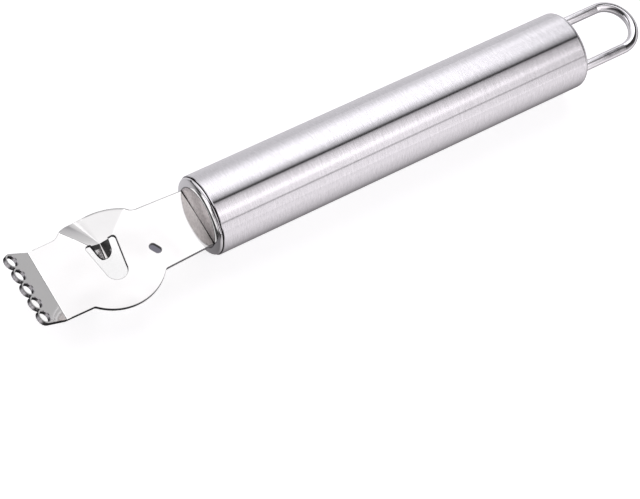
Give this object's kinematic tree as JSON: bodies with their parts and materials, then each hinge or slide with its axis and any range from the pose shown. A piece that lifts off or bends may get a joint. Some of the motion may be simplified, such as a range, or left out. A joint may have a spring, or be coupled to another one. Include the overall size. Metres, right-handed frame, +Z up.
{
  "type": "citrus zester",
  "caption": "Hand-held citrus zester: folded scalloped tip with zesting holes, round blade with a channel knife, tubular handle and a wire hanging loop.",
  "frame": {"origin": "below the middle of the overall length and width, on the surface that the handle lies on", "axes": "+X along the handle from the scalloped tip to the hanging loop, +Y towards the bulge's side with the pressed trough, +Z up, square to the flat of the blade"},
  "size_m": [0.1768, 0.026, 0.02],
  "materials": {
    "blade_steel": "mirror polished",
    "cap_steel": "satin, polished on its shoulder",
    "handle_steel": "brushed round the tube",
    "loop_steel": "polished",
    "plug_plastic": "as moulded"
  },
  "bodies": {
    "root": {"blade": "blade_steel", "front_cap": "cap_steel", "handle_tube": "handle_steel", "hanging_loop": "loop_steel", "tang_plug": "plug_plastic"}
  },
  "joints": []
}
